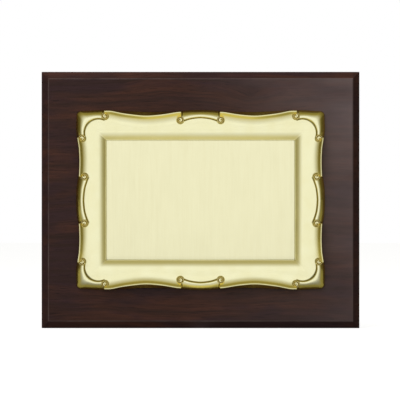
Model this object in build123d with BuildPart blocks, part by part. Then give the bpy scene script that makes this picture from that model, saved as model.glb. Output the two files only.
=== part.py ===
from build123d import *
import math
import os

# A landscape award plaque: a dark wooden board with a pressed gilt tray on its face.
# +X is the reader's right, +Z is up, and the face looks along -Y. The origin is the
# middle of the board's lower edge, halfway through its thickness. Sizes are millimetres.

# Board
board_width = 248.0
board_height = 200.0
board_thickness = 18.0
bevel_width = 5.6
bevel_depth = 4.0
edge_round = 0.5
back_arris = 0.8

# Pressed tray, sized by its foot on the board
tray_width = 194.0
tray_height = 140.4
side_scroll_length = 32.0
end_scroll_length = 34.0
corner_scroll_rise = 20.2
corner_scroll_run = 24.0
scroll_crown = 1.2
side_valley = 2.2
end_valley = 2.6
corner_radius = 5.2
crest_height = 7.6
band_height = 5.6
floor_height = 1.8
skirt_lean = 1.8
bead_width = 2.0
cove_width = 6.0
sheet_thickness = 0.8
volute_radius = 2.7
volute_proud = 0.3
volute_round = 0.9

# Inscription plate inside the tray
plate_width = 146.6
plate_height = 93.2
plate_thickness = 0.5
glue_thickness = 0.2
glue_margin = 1.5

# Foam tape between the tray's floor and the board
tape_length = 120.0
tape_width = 16.0
tape_rows = 3
tape_pitch = 30.0

# Felt on the back
felt_thickness = 1.0
felt_margin = 3.0
felt_corner = 4.0

# Raised keyhole hanger near the top of the back: a bridge of strip between two feet
hanger_width = 16.0
hanger_thickness = 1.2
hanger_foot = 11.0
hanger_ramp = 2.5
hanger_bridge = 24.0
hanger_rise = 4.2
hanger_drop = 34.0
keyhole_entry_radius = 4.5
keyhole_slot_radius = 2.3
keyhole_rise = 9.0

# Wood screws and rivets
screw_radius = 1.4
screw_head_radius = 2.8
screw_head_height = 1.4
screw_length = 11.0
screw_clearance = 0.15
pilot_clearance = 0.05
driver_slot_width = 0.7
driver_slot_depth = 0.6
rivet_radius = 1.5
rivet_head_radius = 2.8
rivet_head_height = 0.7
rivet_clearance = 0.05

# Easel strut
strut_thickness = 3.0
strut_gap = 0.3
strut_top_width = 52.0
strut_foot_width = 84.0
strut_corner = 10.0
strut_lift = 4.0
strut_felt_thickness = 0.6
strut_felt_margin = 1.0
strut_open_angle = 30.0

# Strut hinge
hinge_drop = 80.0
hinge_width = 40.0
leaf_thickness = 1.0
leaf_corner = 2.5
board_leaf_height = 17.0
strut_leaf_height = 28.0
strut_leaf_width = 26.0
middle_knuckle_width = 16.0
knuckle_end_gap = 0.3
knuckle_air = 0.7
pin_radius = 1.0
pin_clearance = 0.05
pin_head_radius = 1.7
pin_head_length = 0.6
stop_clearance = 0.15
hinge_screw_pitch = 24.0
hinge_screw_rise = 10.5
rivet_pitch = 14.0
rivet_drop = 18.0

# Rubber bumpers at the corners of the back
bumper_radius = 6.0
bumper_top_radius = 5.2
bumper_inset = 14.0
bumper_clearance = 0.5
bumper_round = 0.8

# Depths counted along +Y from the middle of the board
board_front = -board_thickness / 2
board_back = board_thickness / 2
floor_front = board_front - floor_height
plate_back = floor_front - glue_thickness
felt_back = board_back + felt_thickness
strut_front = felt_back + strut_gap
strut_back = strut_front + strut_thickness
strut_felt_back = strut_back + strut_felt_thickness
strut_leaf_back = strut_felt_back + leaf_thickness
board_leaf_back = felt_back + leaf_thickness
rivet_back = strut_leaf_back + rivet_head_height
wall_plane = rivet_back + bumper_clearance
bridge_front = felt_back + hanger_rise
bridge_back = bridge_front + hanger_thickness

# Heights and lengths that follow from the sizes above
face_centre = board_height / 2
tape_thickness = floor_height - sheet_thickness
hanger_z = board_height - hanger_drop
hinge_height = board_height - hinge_drop
knuckle_radius = (strut_leaf_back - felt_back) / 2
hinge_y = felt_back + knuckle_radius
strut_top_z = hinge_height - knuckle_radius - knuckle_air
open_angle = math.radians(strut_open_angle)
stop_arm = knuckle_radius - leaf_thickness
stop_reach = (stop_arm * math.cos(open_angle) + stop_arm - stop_clearance) / math.sin(open_angle)
cove_slope = cove_width / (band_height - floor_height)
scroll_half_fall = scroll_crown / 4
corner_half_fall = 0.3 * scroll_crown
corner_end_fall = 0.6 * scroll_crown
corner_start_fall = 0.5 * scroll_crown
corner_reach = 1.25 * corner_radius
corner_cut_x = 0.5 * corner_radius
corner_cut_z = 0.58 * corner_radius


def front_plane(y, z=0.0):
    """A plane across Y, drawn in X and Z from the given height, that grows towards the front."""
    return Plane(origin=(0, y, z), x_dir=(1, 0, 0), z_dir=(0, -1, 0))


def back_plane(y, z=0.0):
    """A plane across Y, drawn in -X and Z from the given height, that grows towards the back."""
    return Plane(origin=(0, y, z), x_dir=(-1, 0, 0), z_dir=(0, 1, 0))


def tray_outline(inset):
    """The tray's wavy outline about its own centre, drawn in by an inset from its foot."""
    half_x = tray_width / 2
    half_z = tray_height / 2
    side_end = side_scroll_length / 2
    top_end = end_scroll_length / 2
    corner_z = half_z - corner_scroll_rise
    corner_x = half_x - corner_scroll_run
    round_side = half_z - corner_reach
    round_top = half_x - corner_reach
    shrink_x = (half_x - inset) / half_x
    shrink_z = (half_z - inset) / half_z

    def at(x, z):
        return (x * shrink_x, z * shrink_z)

    with BuildSketch() as outline:
        with BuildLine():
            side_scroll = ThreePointArc(
                at(half_x, 0),
                at(half_x - scroll_half_fall, side_end / 2),
                at(half_x - scroll_crown, side_end),
            )
            side_hollow = ThreePointArc(
                side_scroll @ 1,
                at(half_x - side_valley, (side_end + corner_z) / 2),
                at(half_x - corner_start_fall, corner_z),
            )
            corner_side = ThreePointArc(
                side_hollow @ 1,
                at(half_x, (corner_z + round_side) / 2),
                at(half_x - corner_end_fall, round_side),
            )
            corner_round = ThreePointArc(
                corner_side @ 1,
                at(half_x - corner_cut_x, half_z - corner_cut_z),
                at(round_top, half_z - scroll_crown),
            )
            corner_top = ThreePointArc(
                corner_round @ 1,
                at((round_top + corner_x) / 2, half_z - corner_half_fall),
                at(corner_x, half_z),
            )
            top_hollow = ThreePointArc(
                corner_top @ 1,
                at((corner_x + top_end) / 2, half_z - end_valley),
                at(top_end, half_z - scroll_crown),
            )
            ThreePointArc(
                top_hollow @ 1,
                at(top_end / 2, half_z - scroll_half_fall),
                at(0, half_z),
            )
            mirror(about=Plane.XZ)
            mirror(about=Plane.YZ)
        make_face()
    return outline.sketch


def tray_plane(height):
    """The plane at a height above the board's face, centred on the tray."""
    return front_plane(board_front - height, face_centre)


def volute_places():
    """Centres of the scrolls' curled ends about the tray's centre."""
    side_x = tray_width / 2 - skirt_lean - volute_radius
    top_z = tray_height / 2 - skirt_lean - volute_radius
    places = []
    for sign_x in (-1, 1):
        for sign_z in (-1, 1):
            places.append((sign_x * side_x, sign_z * side_scroll_length / 2))
            places.append((sign_x * side_x, sign_z * (tray_height / 2 - corner_scroll_rise)))
            places.append((sign_x * (tray_width / 2 - corner_scroll_run), sign_z * top_z))
            places.append((sign_x * end_scroll_length / 2, sign_z * top_z))
    return places


def strut_outline():
    """The strut's tapered outline in X and Z, from its foot to just under the hinge."""
    with BuildSketch() as outline:
        with BuildLine():
            Polyline(
                (-strut_foot_width / 2, strut_lift),
                (strut_foot_width / 2, strut_lift),
                (strut_top_width / 2, strut_top_z),
                (-strut_top_width / 2, strut_top_z),
                close=True,
            )
        make_face()
        fillet(outline.vertices().group_by(Axis.Y)[0], radius=strut_corner)
    return outline.sketch


def screw_group(places, head_plane_y):
    """Round-headed wood screws whose heads sit on a plane across Y, at the given X and Z places."""
    seats = [back_plane(head_plane_y, z) * Pos(-x, 0, 0) for x, z in places]
    tops = [back_plane(head_plane_y + screw_head_height, z) * Pos(-x, 0, 0) for x, z in places]
    with BuildPart() as screws:
        with Locations(*seats):
            Cylinder(screw_radius, screw_length, align=(Align.CENTER, Align.CENTER, Align.MAX))
            Cylinder(screw_head_radius, screw_head_height, align=(Align.CENTER, Align.CENTER, Align.MIN))
        fillet(screws.faces().group_by(Axis.Y)[-1].edges(), radius=0.6 * screw_head_height)
        chamfer(screws.faces().group_by(Axis.Y)[0].edges(), length=0.6 * screw_radius)
        with Locations(*tops):
            Box(
                2 * screw_head_radius,
                driver_slot_width,
                driver_slot_depth,
                align=(Align.CENTER, Align.CENTER, Align.MAX),
                mode=Mode.SUBTRACT,
            )
    return screws.part


hanger_length = hanger_bridge + 2 * (hanger_ramp + hanger_foot)
hanger_screw_reach = (hanger_length - hanger_foot) / 2
hanger_screw_places = [(0, hanger_z - hanger_screw_reach), (0, hanger_z + hanger_screw_reach)]
hinge_screw_z = hinge_height + hinge_screw_rise
hinge_screw_places = [(-hinge_screw_pitch / 2, hinge_screw_z), (hinge_screw_pitch / 2, hinge_screw_z)]
rivet_places = [(-rivet_pitch / 2, hinge_height - rivet_drop), (rivet_pitch / 2, hinge_height - rivet_drop)]
bumper_x = board_width / 2 - bumper_inset
bumper_spread = board_height - 2 * bumper_inset

# Wooden board: bevelled round the face, with small pilot holes in the back
with BuildPart() as board:
    with BuildSketch(front_plane(board_back, face_centre)):
        Rectangle(board_width, board_height)
    extrude(amount=board_thickness - bevel_depth)
    with BuildSketch(front_plane(board_front + bevel_depth, face_centre)):
        Rectangle(board_width, board_height)
    with BuildSketch(front_plane(board_front, face_centre)):
        Rectangle(board_width - 2 * bevel_width, board_height - 2 * bevel_width)
    loft()
    chamfer(board.faces().sort_by(Axis.Y)[-1].edges(), length=back_arris)
    upright_corners = board.edges().filter_by(Axis.Y)
    rim_edges = board.edges().filter_by_position(Axis.Y, board_front, board_front + bevel_depth)
    fillet(upright_corners + rim_edges, radius=edge_round)
    with BuildSketch(front_plane(board_back)):
        with Locations(*hinge_screw_places, *hanger_screw_places):
            Circle(screw_radius + pilot_clearance)
    extrude(amount=screw_length - felt_thickness - leaf_thickness + pilot_clearance, mode=Mode.SUBTRACT)
board.part.label = "board"

# Space under the tray: within its skirt, below its rim band, and outside its sunken floor
with BuildPart() as tray_space:
    with BuildSketch(tray_plane(0)):
        add(tray_outline(sheet_thickness))
    with BuildSketch(tray_plane(band_height - sheet_thickness)):
        rim_share = (band_height - sheet_thickness) / crest_height
        add(tray_outline(sheet_thickness + skirt_lean * rim_share))
    loft(ruled=True)
    with BuildSketch(tray_plane(floor_height - sheet_thickness)):
        Rectangle(plate_width + 2 * sheet_thickness, plate_height + 2 * sheet_thickness)
    with BuildSketch(tray_plane(band_height)):
        outer_growth = 2 * (sheet_thickness + cove_slope * (band_height - floor_height + sheet_thickness))
        Rectangle(plate_width + outer_growth, plate_height + outer_growth)
    loft(ruled=True, mode=Mode.SUBTRACT)

# Pressed gilt tray: skirt, raised wavy edge, rim band, cove, sunken floor and scroll ends
with BuildPart() as salver:
    with BuildSketch(tray_plane(0)):
        add(tray_outline(0))
    with BuildSketch(tray_plane(crest_height)):
        add(tray_outline(skirt_lean))
    loft(ruled=True)
    with BuildSketch(tray_plane(crest_height)):
        add(tray_outline(skirt_lean + bead_width))
    with BuildSketch(tray_plane(band_height)):
        add(tray_outline(skirt_lean + bead_width + crest_height - band_height))
    loft(ruled=True, mode=Mode.SUBTRACT)
    with BuildSketch(tray_plane(band_height)):
        Rectangle(plate_width + 2 * cove_width, plate_height + 2 * cove_width)
    with BuildSketch(tray_plane(floor_height)):
        Rectangle(plate_width, plate_height)
    loft(ruled=True, mode=Mode.SUBTRACT)
    add(tray_space.part, mode=Mode.SUBTRACT)
    with BuildSketch(tray_plane(band_height - sheet_thickness)):
        with Locations(*volute_places()):
            Circle(volute_radius)
    extrude(amount=crest_height + volute_proud - band_height + sheet_thickness)
    fillet(salver.faces().sort_by(Axis.Y).group_by(Axis.Y)[0].edges(), radius=volute_round)
salver.part.label = "salver"

# Flat inscription plate, glued to the tray's floor
with BuildPart() as inscription_plate:
    with BuildSketch(front_plane(plate_back, face_centre)):
        Rectangle(plate_width, plate_height)
    extrude(amount=plate_thickness)
inscription_plate.part.label = "inscription_plate"

with BuildPart() as plate_glue:
    with BuildSketch(front_plane(floor_front, face_centre)):
        Rectangle(plate_width - 2 * glue_margin, plate_height - 2 * glue_margin)
    extrude(amount=glue_thickness)
plate_glue.part.label = "plate_glue"

# Strips of foam tape that hold the tray to the board
with BuildPart() as tray_tape:
    with BuildSketch(front_plane(board_front, face_centre)):
        with GridLocations(0, tape_pitch, 1, tape_rows):
            Rectangle(tape_length, tape_width)
    extrude(amount=tape_thickness)
tray_tape.part.label = "tray_tape"

# Felt on the back, with holes for the screws
with BuildPart() as back_felt:
    with BuildSketch(back_plane(board_back)):
        with Locations((0, face_centre)):
            RectangleRounded(board_width - 2 * felt_margin, board_height - 2 * felt_margin, felt_corner)
        with Locations(*hinge_screw_places, *hanger_screw_places):
            Circle(screw_radius + pilot_clearance, mode=Mode.SUBTRACT)
    extrude(amount=felt_thickness)
back_felt.part.label = "back_felt"

# Keyhole hanger: a strip bent up into a bridge, with rounded feet screwed over the felt
with BuildPart() as hanger_plate:
    with BuildSketch(Plane.YZ.offset(-hanger_width / 2)):
        with BuildLine():
            Polyline(
                (felt_back, hanger_bridge / 2 + hanger_ramp + hanger_foot),
                (felt_back, hanger_bridge / 2 + hanger_ramp),
                (bridge_front, hanger_bridge / 2),
                (bridge_front, 0),
                (bridge_back, 0),
                (bridge_back, hanger_bridge / 2 + hanger_thickness / 2),
                (felt_back + hanger_thickness, hanger_bridge / 2 + hanger_ramp + hanger_thickness / 2),
                (felt_back + hanger_thickness, hanger_bridge / 2 + hanger_ramp + hanger_foot),
                close=True,
            )
        make_face()
        mirror(about=Plane.XZ)
    extrude(amount=hanger_width)
    with BuildSketch(back_plane(felt_back)):
        SlotOverall(hanger_length, hanger_width, rotation=90)
    extrude(amount=hanger_rise + hanger_thickness, mode=Mode.INTERSECT)
    with BuildSketch(back_plane(bridge_front)):
        with Locations((0, -keyhole_rise / 2)):
            Circle(keyhole_entry_radius)
        SlotCenterToCenter(keyhole_rise, 2 * keyhole_slot_radius, rotation=90)
    extrude(amount=hanger_thickness, mode=Mode.SUBTRACT)
    with BuildSketch(back_plane(felt_back)):
        with Locations((0, -hanger_screw_reach), (0, hanger_screw_reach)):
            Circle(screw_radius + screw_clearance)
    extrude(amount=hanger_thickness, mode=Mode.SUBTRACT)
hanger_plate.part.move(Location((0, 0, hanger_z)))
hanger_plate.part.label = "hanger_plate"

hanger_screws = screw_group(hanger_screw_places, felt_back + hanger_thickness)
hanger_screws.label = "hanger_screws"

# Hinge leaf on the board, with the two outer knuckles
with BuildPart() as hinge_board_leaf:
    with BuildSketch(back_plane(felt_back)):
        with Locations((0, hinge_height + board_leaf_height / 2)):
            leaf_face = Rectangle(hinge_width, board_leaf_height)
        fillet(leaf_face.vertices().group_by(Axis.Y)[-1], radius=leaf_corner)
        with Locations(*hinge_screw_places):
            Circle(screw_radius + screw_clearance, mode=Mode.SUBTRACT)
    extrude(amount=leaf_thickness)
    with BuildSketch(Plane.YZ.offset(-hinge_width / 2)):
        with Locations((hinge_y, hinge_height)):
            Circle(knuckle_radius)
    extrude(amount=hinge_width)
    with BuildSketch(Plane.YZ.offset(-middle_knuckle_width / 2 - knuckle_end_gap)):
        with Locations((hinge_y, hinge_height)):
            Rectangle(2 * (knuckle_radius + knuckle_air), 2 * (knuckle_radius + knuckle_air))
    extrude(amount=middle_knuckle_width + 2 * knuckle_end_gap, mode=Mode.SUBTRACT)
    with BuildSketch(Plane.YZ.offset(-hinge_width / 2)):
        with Locations((hinge_y, hinge_height)):
            Circle(pin_radius + pin_clearance)
    extrude(amount=hinge_width, mode=Mode.SUBTRACT)
hinge_board_leaf.part.label = "hinge_board_leaf"

hinge_screws = screw_group(hinge_screw_places, board_leaf_back)
hinge_screws.label = "hinge_screws"

# Hinge pin with a peened head at each end
with BuildPart() as hinge_pin:
    with BuildSketch(Plane.YZ.offset(-hinge_width / 2 - pin_clearance)):
        with Locations((hinge_y, hinge_height)):
            Circle(pin_radius)
    extrude(amount=hinge_width + 2 * pin_clearance)
    with BuildSketch(Plane.YZ.offset(hinge_width / 2 + pin_clearance)):
        with Locations((hinge_y, hinge_height)):
            Circle(pin_head_radius)
    extrude(amount=pin_head_length)
    with BuildSketch(Plane.YZ.offset(-hinge_width / 2 - pin_clearance)):
        with Locations((hinge_y, hinge_height)):
            Circle(pin_head_radius)
    extrude(amount=-pin_head_length)
hinge_pin.part.label = "hinge_pin"

# Hinge leaf on the strut: the middle knuckle, and a tail that meets the board's leaf when open
with BuildPart() as hinge_strut_leaf:
    with BuildSketch(back_plane(strut_felt_back)):
        leaf_top = hinge_height - knuckle_radius - knuckle_air
        leaf_foot = hinge_height - strut_leaf_height
        with Locations((0, (leaf_top + leaf_foot) / 2)):
            strut_leaf_face = Rectangle(strut_leaf_width, leaf_top - leaf_foot)
        fillet(strut_leaf_face.vertices().group_by(Axis.Y)[0], radius=leaf_corner)
        with Locations((0, (hinge_height + stop_reach + leaf_foot) / 2)):
            Rectangle(middle_knuckle_width, hinge_height + stop_reach - leaf_foot)
        with Locations(*rivet_places):
            Circle(rivet_radius + rivet_clearance, mode=Mode.SUBTRACT)
    extrude(amount=leaf_thickness)
    with BuildSketch(Plane.YZ.offset(-middle_knuckle_width / 2)):
        with Locations((hinge_y, hinge_height)):
            Circle(knuckle_radius)
    extrude(amount=middle_knuckle_width)
    with BuildSketch(Plane.YZ.offset(-middle_knuckle_width / 2)):
        with Locations((hinge_y, hinge_height)):
            Circle(pin_radius + pin_clearance)
    extrude(amount=middle_knuckle_width, mode=Mode.SUBTRACT)
hinge_strut_leaf.part.label = "hinge_strut_leaf"

# Strut: a tapered hardboard leg, recessed on the inside for the rivets' flanges
with BuildPart() as strut_panel:
    with BuildSketch(back_plane(strut_front)):
        add(strut_outline())
        with Locations(*rivet_places):
            Circle(rivet_radius + rivet_clearance, mode=Mode.SUBTRACT)
    extrude(amount=strut_thickness)
    with BuildSketch(back_plane(strut_front)):
        with Locations(*rivet_places):
            Circle(rivet_head_radius + rivet_clearance)
    extrude(amount=rivet_head_height, mode=Mode.SUBTRACT)
strut_panel.part.label = "strut_panel"

# Felt on the outside of the strut
with BuildPart() as strut_felt:
    with BuildSketch(back_plane(strut_back)):
        add(strut_outline())
        offset(amount=-strut_felt_margin, kind=Kind.INTERSECTION)
        with Locations(*rivet_places):
            Circle(rivet_radius + rivet_clearance, mode=Mode.SUBTRACT)
    extrude(amount=strut_felt_thickness)
strut_felt.part.label = "strut_felt"

# Rivets through the strut, its felt and its hinge leaf
with BuildPart() as strut_rivets:
    with BuildSketch(back_plane(strut_front)):
        with Locations(*rivet_places):
            Circle(rivet_head_radius)
    extrude(amount=rivet_head_height)
    with BuildSketch(back_plane(strut_front)):
        with Locations(*rivet_places):
            Circle(rivet_radius)
    extrude(amount=strut_leaf_back - strut_front)
    with BuildSketch(back_plane(strut_leaf_back)):
        with Locations(*rivet_places):
            Circle(rivet_head_radius)
    extrude(amount=rivet_head_height)
    fillet(strut_rivets.faces().group_by(Axis.Y)[-1].edges(), radius=0.8 * rivet_head_height)
strut_rivets.part.label = "strut_rivets"

# Rubber bumpers
with BuildPart() as bumpers:
    for sign_x in (-1, 1):
        for sign_z in (-1, 1):
            with BuildSketch(back_plane(felt_back, face_centre)):
                with Locations((sign_x * bumper_x, sign_z * bumper_spread / 2)):
                    Circle(bumper_radius)
            with BuildSketch(back_plane(wall_plane, face_centre)):
                with Locations((sign_x * bumper_x, sign_z * bumper_spread / 2)):
                    Circle(bumper_top_radius)
            loft()
    fillet(bumpers.faces().group_by(Axis.Y)[-1].edges(), radius=bumper_round)
bumpers.part.label = "bumpers"

os.makedirs("parts", exist_ok=True)
export_step(board.part, "parts/board.step")
export_step(salver.part, "parts/salver.step")
export_step(inscription_plate.part, "parts/inscription_plate.step")
export_step(plate_glue.part, "parts/plate_glue.step")
export_step(tray_tape.part, "parts/tray_tape.step")
export_step(back_felt.part, "parts/back_felt.step")
export_step(hanger_plate.part, "parts/hanger_plate.step")
export_step(hanger_screws, "parts/hanger_screws.step")
export_step(hinge_board_leaf.part, "parts/hinge_board_leaf.step")
export_step(hinge_screws, "parts/hinge_screws.step")
export_step(hinge_pin.part, "parts/hinge_pin.step")
export_step(hinge_strut_leaf.part, "parts/hinge_strut_leaf.step")
export_step(strut_panel.part, "parts/strut_panel.step")
export_step(strut_felt.part, "parts/strut_felt.step")
export_step(strut_rivets.part, "parts/strut_rivets.step")
export_step(bumpers.part, "parts/bumpers.step")
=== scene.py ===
"""A landscape award plaque: a dark lacquered board with a pale gilt pressed tray on its face.

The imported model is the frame: +X is the reader's right, +Z is up and the face looks along -Y.
Everything is in metres unless a name or docstring says millimetres. Each sub-assembly is a
class that builds its meshes and dresses them.
"""

import logging
import math
from dataclasses import dataclass
from dataclasses import field
from enum import Enum

import bpy
import numpy as np
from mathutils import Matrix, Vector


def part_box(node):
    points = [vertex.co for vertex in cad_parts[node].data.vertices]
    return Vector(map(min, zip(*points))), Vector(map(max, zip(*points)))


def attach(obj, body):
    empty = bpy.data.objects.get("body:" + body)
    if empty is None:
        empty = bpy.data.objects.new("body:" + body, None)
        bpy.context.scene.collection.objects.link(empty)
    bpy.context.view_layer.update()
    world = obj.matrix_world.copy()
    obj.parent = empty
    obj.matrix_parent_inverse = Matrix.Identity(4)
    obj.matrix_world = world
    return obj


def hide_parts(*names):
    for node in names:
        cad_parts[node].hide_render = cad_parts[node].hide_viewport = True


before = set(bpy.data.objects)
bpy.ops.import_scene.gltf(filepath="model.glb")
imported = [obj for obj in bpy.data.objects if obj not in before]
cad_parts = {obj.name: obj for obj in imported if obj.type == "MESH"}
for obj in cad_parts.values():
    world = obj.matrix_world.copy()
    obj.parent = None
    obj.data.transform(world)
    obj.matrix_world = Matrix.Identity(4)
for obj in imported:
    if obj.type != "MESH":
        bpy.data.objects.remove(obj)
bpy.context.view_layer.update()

MM = 0.001
# Leans in degrees over which the gilt's painted slope shade rises from none to full.
LEVEL_LEAN = 7.0
STEEP_LEAN = 37.0
WHITE = (1.0, 1.0, 1.0)
LOG = logging.getLogger("plaque")

Colour = tuple[float, float, float]
Socket = bpy.types.NodeSocket


class Body(Enum):
    """The two rigid bodies of the plaque."""

    PLAQUE = "plaque"
    STRUT = "strut"


# ---------------------------------------------------------------- surfaces worked out with numpy


def through(at: np.ndarray, places: tuple[float, ...], values: tuple[float, ...]) -> np.ndarray:
    """A smooth curve through given points, a cubic between each two with a shared slope.

    The slope at a point is the harmonic mean of the slopes on both sides, or nought where they
    differ in sign, so that the curve never overshoots its points.

    Args:
        at: Where the curve is wanted.
        places: The points' places, rising.
        values: The curve's values there.

    Returns:
        The curve's values, level beyond the first and last point.
    """
    x = np.asarray(places, float)
    y = np.asarray(values, float)
    step = np.diff(x)
    rate = np.diff(y) / step
    both = rate[:-1] * rate[1:]
    total = np.where(both > 0, rate[:-1] + rate[1:], 1.0)
    inner = np.where(both > 0, 2 * both / total, 0.0)
    slope = np.concatenate([[rate[0]], inner, [rate[-1]]])
    where = np.clip(at, x[0], x[-1])
    i = np.clip(np.searchsorted(x, where, side="right") - 1, 0, len(step) - 1)
    t = (where - x[i]) / step[i]
    start = (1 + 2 * t) * (1 - t) ** 2 * y[i] + t * (1 - t) ** 2 * step[i] * slope[i]
    end = t**2 * (3 - 2 * t) * y[i + 1] + t**2 * (t - 1) * step[i] * slope[i + 1]
    return start + end


def ease(value: np.ndarray, low: float, high: float) -> np.ndarray:
    """The smooth step 3t^2 - 2t^3 from 0 at low to 1 at high."""
    t = np.clip((value - low) / (high - low), 0.0, 1.0)
    return t * t * (3 - 2 * t)


def signed_volume(points: np.ndarray, faces: list[np.ndarray]) -> float:
    """The volume inside closed faces.

    Each face is a fan of triangles from its first corner, and each triangle adds a sixth of the
    triple product of its corners.

    Args:
        points: The corners' places as (corner, 3).
        faces: Rows of corner numbers, one array for each number of corners in a face.

    Returns:
        The volume, negative if the faces point inwards.
    """
    total = 0.0
    for rows in faces:
        for k in range(1, rows.shape[1] - 1):
            a, b, c = points[rows[:, 0]], points[rows[:, k]], points[rows[:, k + 1]]
            total += float((a * np.cross(b, c)).sum()) / 6
    return total


def lofted(rings: np.ndarray, first_pole: np.ndarray, last_pole: np.ndarray) -> tuple:
    """Joins closed rings of points into one closed surface with a pole at each end.

    Neighbouring rings are joined by quads and each pole by a fan of triangles, and the faces
    are turned over if the volume inside them comes out negative.

    Args:
        rings: Points as (ring, place round it, 3).
        first_pole: The point that closes the first ring.
        last_pole: The point that closes the last ring.

    Returns:
        The points, and a list with the quads and the triangles.
    """
    count, around = rings.shape[:2]
    points = np.concatenate([rings.reshape(-1, 3), first_pole[None], last_pole[None]])
    here = np.arange(around)
    there = (here + 1) % around
    base = np.arange(count - 1)[:, None] * around
    quads = np.stack([base + here, base + there, base + around + there, base + around + here], -1)
    low = np.full(around, count * around)
    high = low + 1
    last = (count - 1) * around
    fans = np.concatenate(
        [np.stack([there, here, low], -1), np.stack([last + here, last + there, high], -1)]
    )
    faces = [quads.reshape(-1, 4), fans]
    if signed_volume(points, faces) < 0:
        faces = [rows[:, ::-1] for rows in faces]
    return points, faces


def mesh_piece(name: str, shells: list[tuple]) -> bpy.types.Object:
    """Makes one smooth-shaded object out of closed shells.

    Args:
        name: The piece's name.
        shells: Points and faces of each shell, as lofted gives them.

    Returns:
        The object, at the origin, with its place in its mesh.
    """
    points, faces, start = [], [], 0
    for shell_points, shell_faces in shells:
        points.append(shell_points)
        faces.extend((rows + start).tolist() for rows in shell_faces)
        start += len(shell_points)
    mesh = bpy.data.meshes.new(name)
    mesh.from_pydata(np.concatenate(points).tolist(), [], [row for rows in faces for row in rows])
    mesh.polygons.foreach_set("use_smooth", np.ones(len(mesh.polygons), bool))
    mesh.update()
    piece = bpy.data.objects.new(name, mesh)
    bpy.context.scene.collection.objects.link(piece)
    return piece


def rounded_rectangle(half_x: float, half_z: float, radius: float, along: np.ndarray) -> np.ndarray:
    """A quarter of a rounded rectangle, by its own length.

    The quarter runs up the right side, round the corner as a quarter circle and along the top
    to the middle.

    Args:
        half_x: Half the width.
        half_z: Half the height.
        radius: The corner's radius.
        along: Rising shares of the quarter's length, from 0 to 1.

    Returns:
        The quarter's points as (place, 2).
    """
    side, bend, top = half_z - radius, radius * math.pi / 2, half_x - radius
    s = along * (side + bend + top)
    angle = np.clip((s - side) / radius, 0, math.pi / 2)
    x = half_x - radius + radius * np.cos(angle) - np.clip(s - side - bend, 0, None)
    z = np.minimum(s, side) + radius * np.sin(angle)
    return np.stack([x, z], -1)


def four_quarters(quarter: np.ndarray) -> np.ndarray:
    """Mirrors a quarter loop, from the right middle to the top middle, into the whole loop.

    Args:
        quarter: Points as (..., place, 2), with the first on the X axis and the last on Z.

    Returns:
        The loop as (..., place, 2), anticlockwise, with no point twice.
    """
    second = quarter[..., -2::-1, :] * (-1, 1)
    third = quarter[..., 1:, :] * (-1, -1)
    fourth = quarter[..., -2:0:-1, :] * (1, -1)
    return np.concatenate([quarter, second, third, fourth], axis=-2)


def four_times(quarter: np.ndarray) -> np.ndarray:
    """Repeats values along a quarter over the whole loop, in the order of four_quarters."""
    back = quarter[..., -2::-1]
    return np.concatenate([quarter, back, quarter[..., 1:], quarter[..., -2:0:-1]], axis=-1)


def on_face(flat: np.ndarray, height: np.ndarray) -> np.ndarray:
    """Puts points in millimetres about the tray's centre onto the board's face.

    Args:
        flat: X and Z as (..., 2).
        height: Heights above the face as (...).

    Returns:
        The points as (..., 3), in metres.
    """
    low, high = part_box("salver")
    x = (low.x + high.x) / 2 + flat[..., 0] * MM
    z = (low.z + high.z) / 2 + flat[..., 1] * MM
    return np.stack([x, high.y - height * MM, z], -1)


# ---------------------------------------------------------------- finishes


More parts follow.
